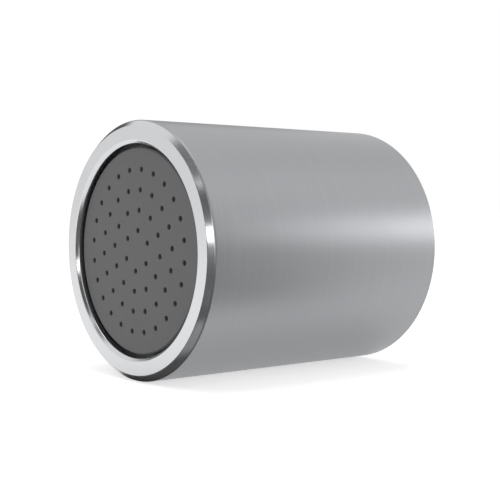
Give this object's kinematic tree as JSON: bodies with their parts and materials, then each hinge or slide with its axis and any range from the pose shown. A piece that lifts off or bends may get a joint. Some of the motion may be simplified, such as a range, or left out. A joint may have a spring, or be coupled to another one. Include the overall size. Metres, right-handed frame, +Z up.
{
  "type": "tap nozzle",
  "caption": "Round screw-on tap nozzle: brushed steel sleeve with a bright front rim, a recessed dark spray plate with rings of fine jets, and a filtered, flow-limiting insert inside.",
  "frame": {"origin": "centre of the inlet mouth, on the nozzle's axis, in the plane of the sleeve's rear edge", "axes": "+Y along the axis out of the threaded inlet, -Y out of the spray face, +Z up as pictured, +X to the right seen from the spray face"},
  "size_m": [0.024, 0.0282, 0.024],
  "materials": {
    "brushed_stainless": "satin brushed round the sleeve, bright on the front rim",
    "dark_grey_acetal": "matte moulded",
    "natural_acetal": "natural white moulded",
    "grey_acetal": "light grey moulded",
    "black_rubber": "matte moulded rubber",
    "steel_gauze": "bright drawn wire"
  },
  "bodies": {
    "root": {"nozzle_sleeve": "brushed_stainless", "spray_plate": "dark_grey_acetal", "plate_gasket": "black_rubber", "insert_barrel": "natural_acetal", "regulator_body": "grey_acetal", "regulator_ring": "black_rubber", "regulator_cap": "grey_acetal", "filter_frame": "natural_acetal", "filter_gauze": "steel_gauze", "inlet_washer": "black_rubber"}
  },
  "joints": []
}
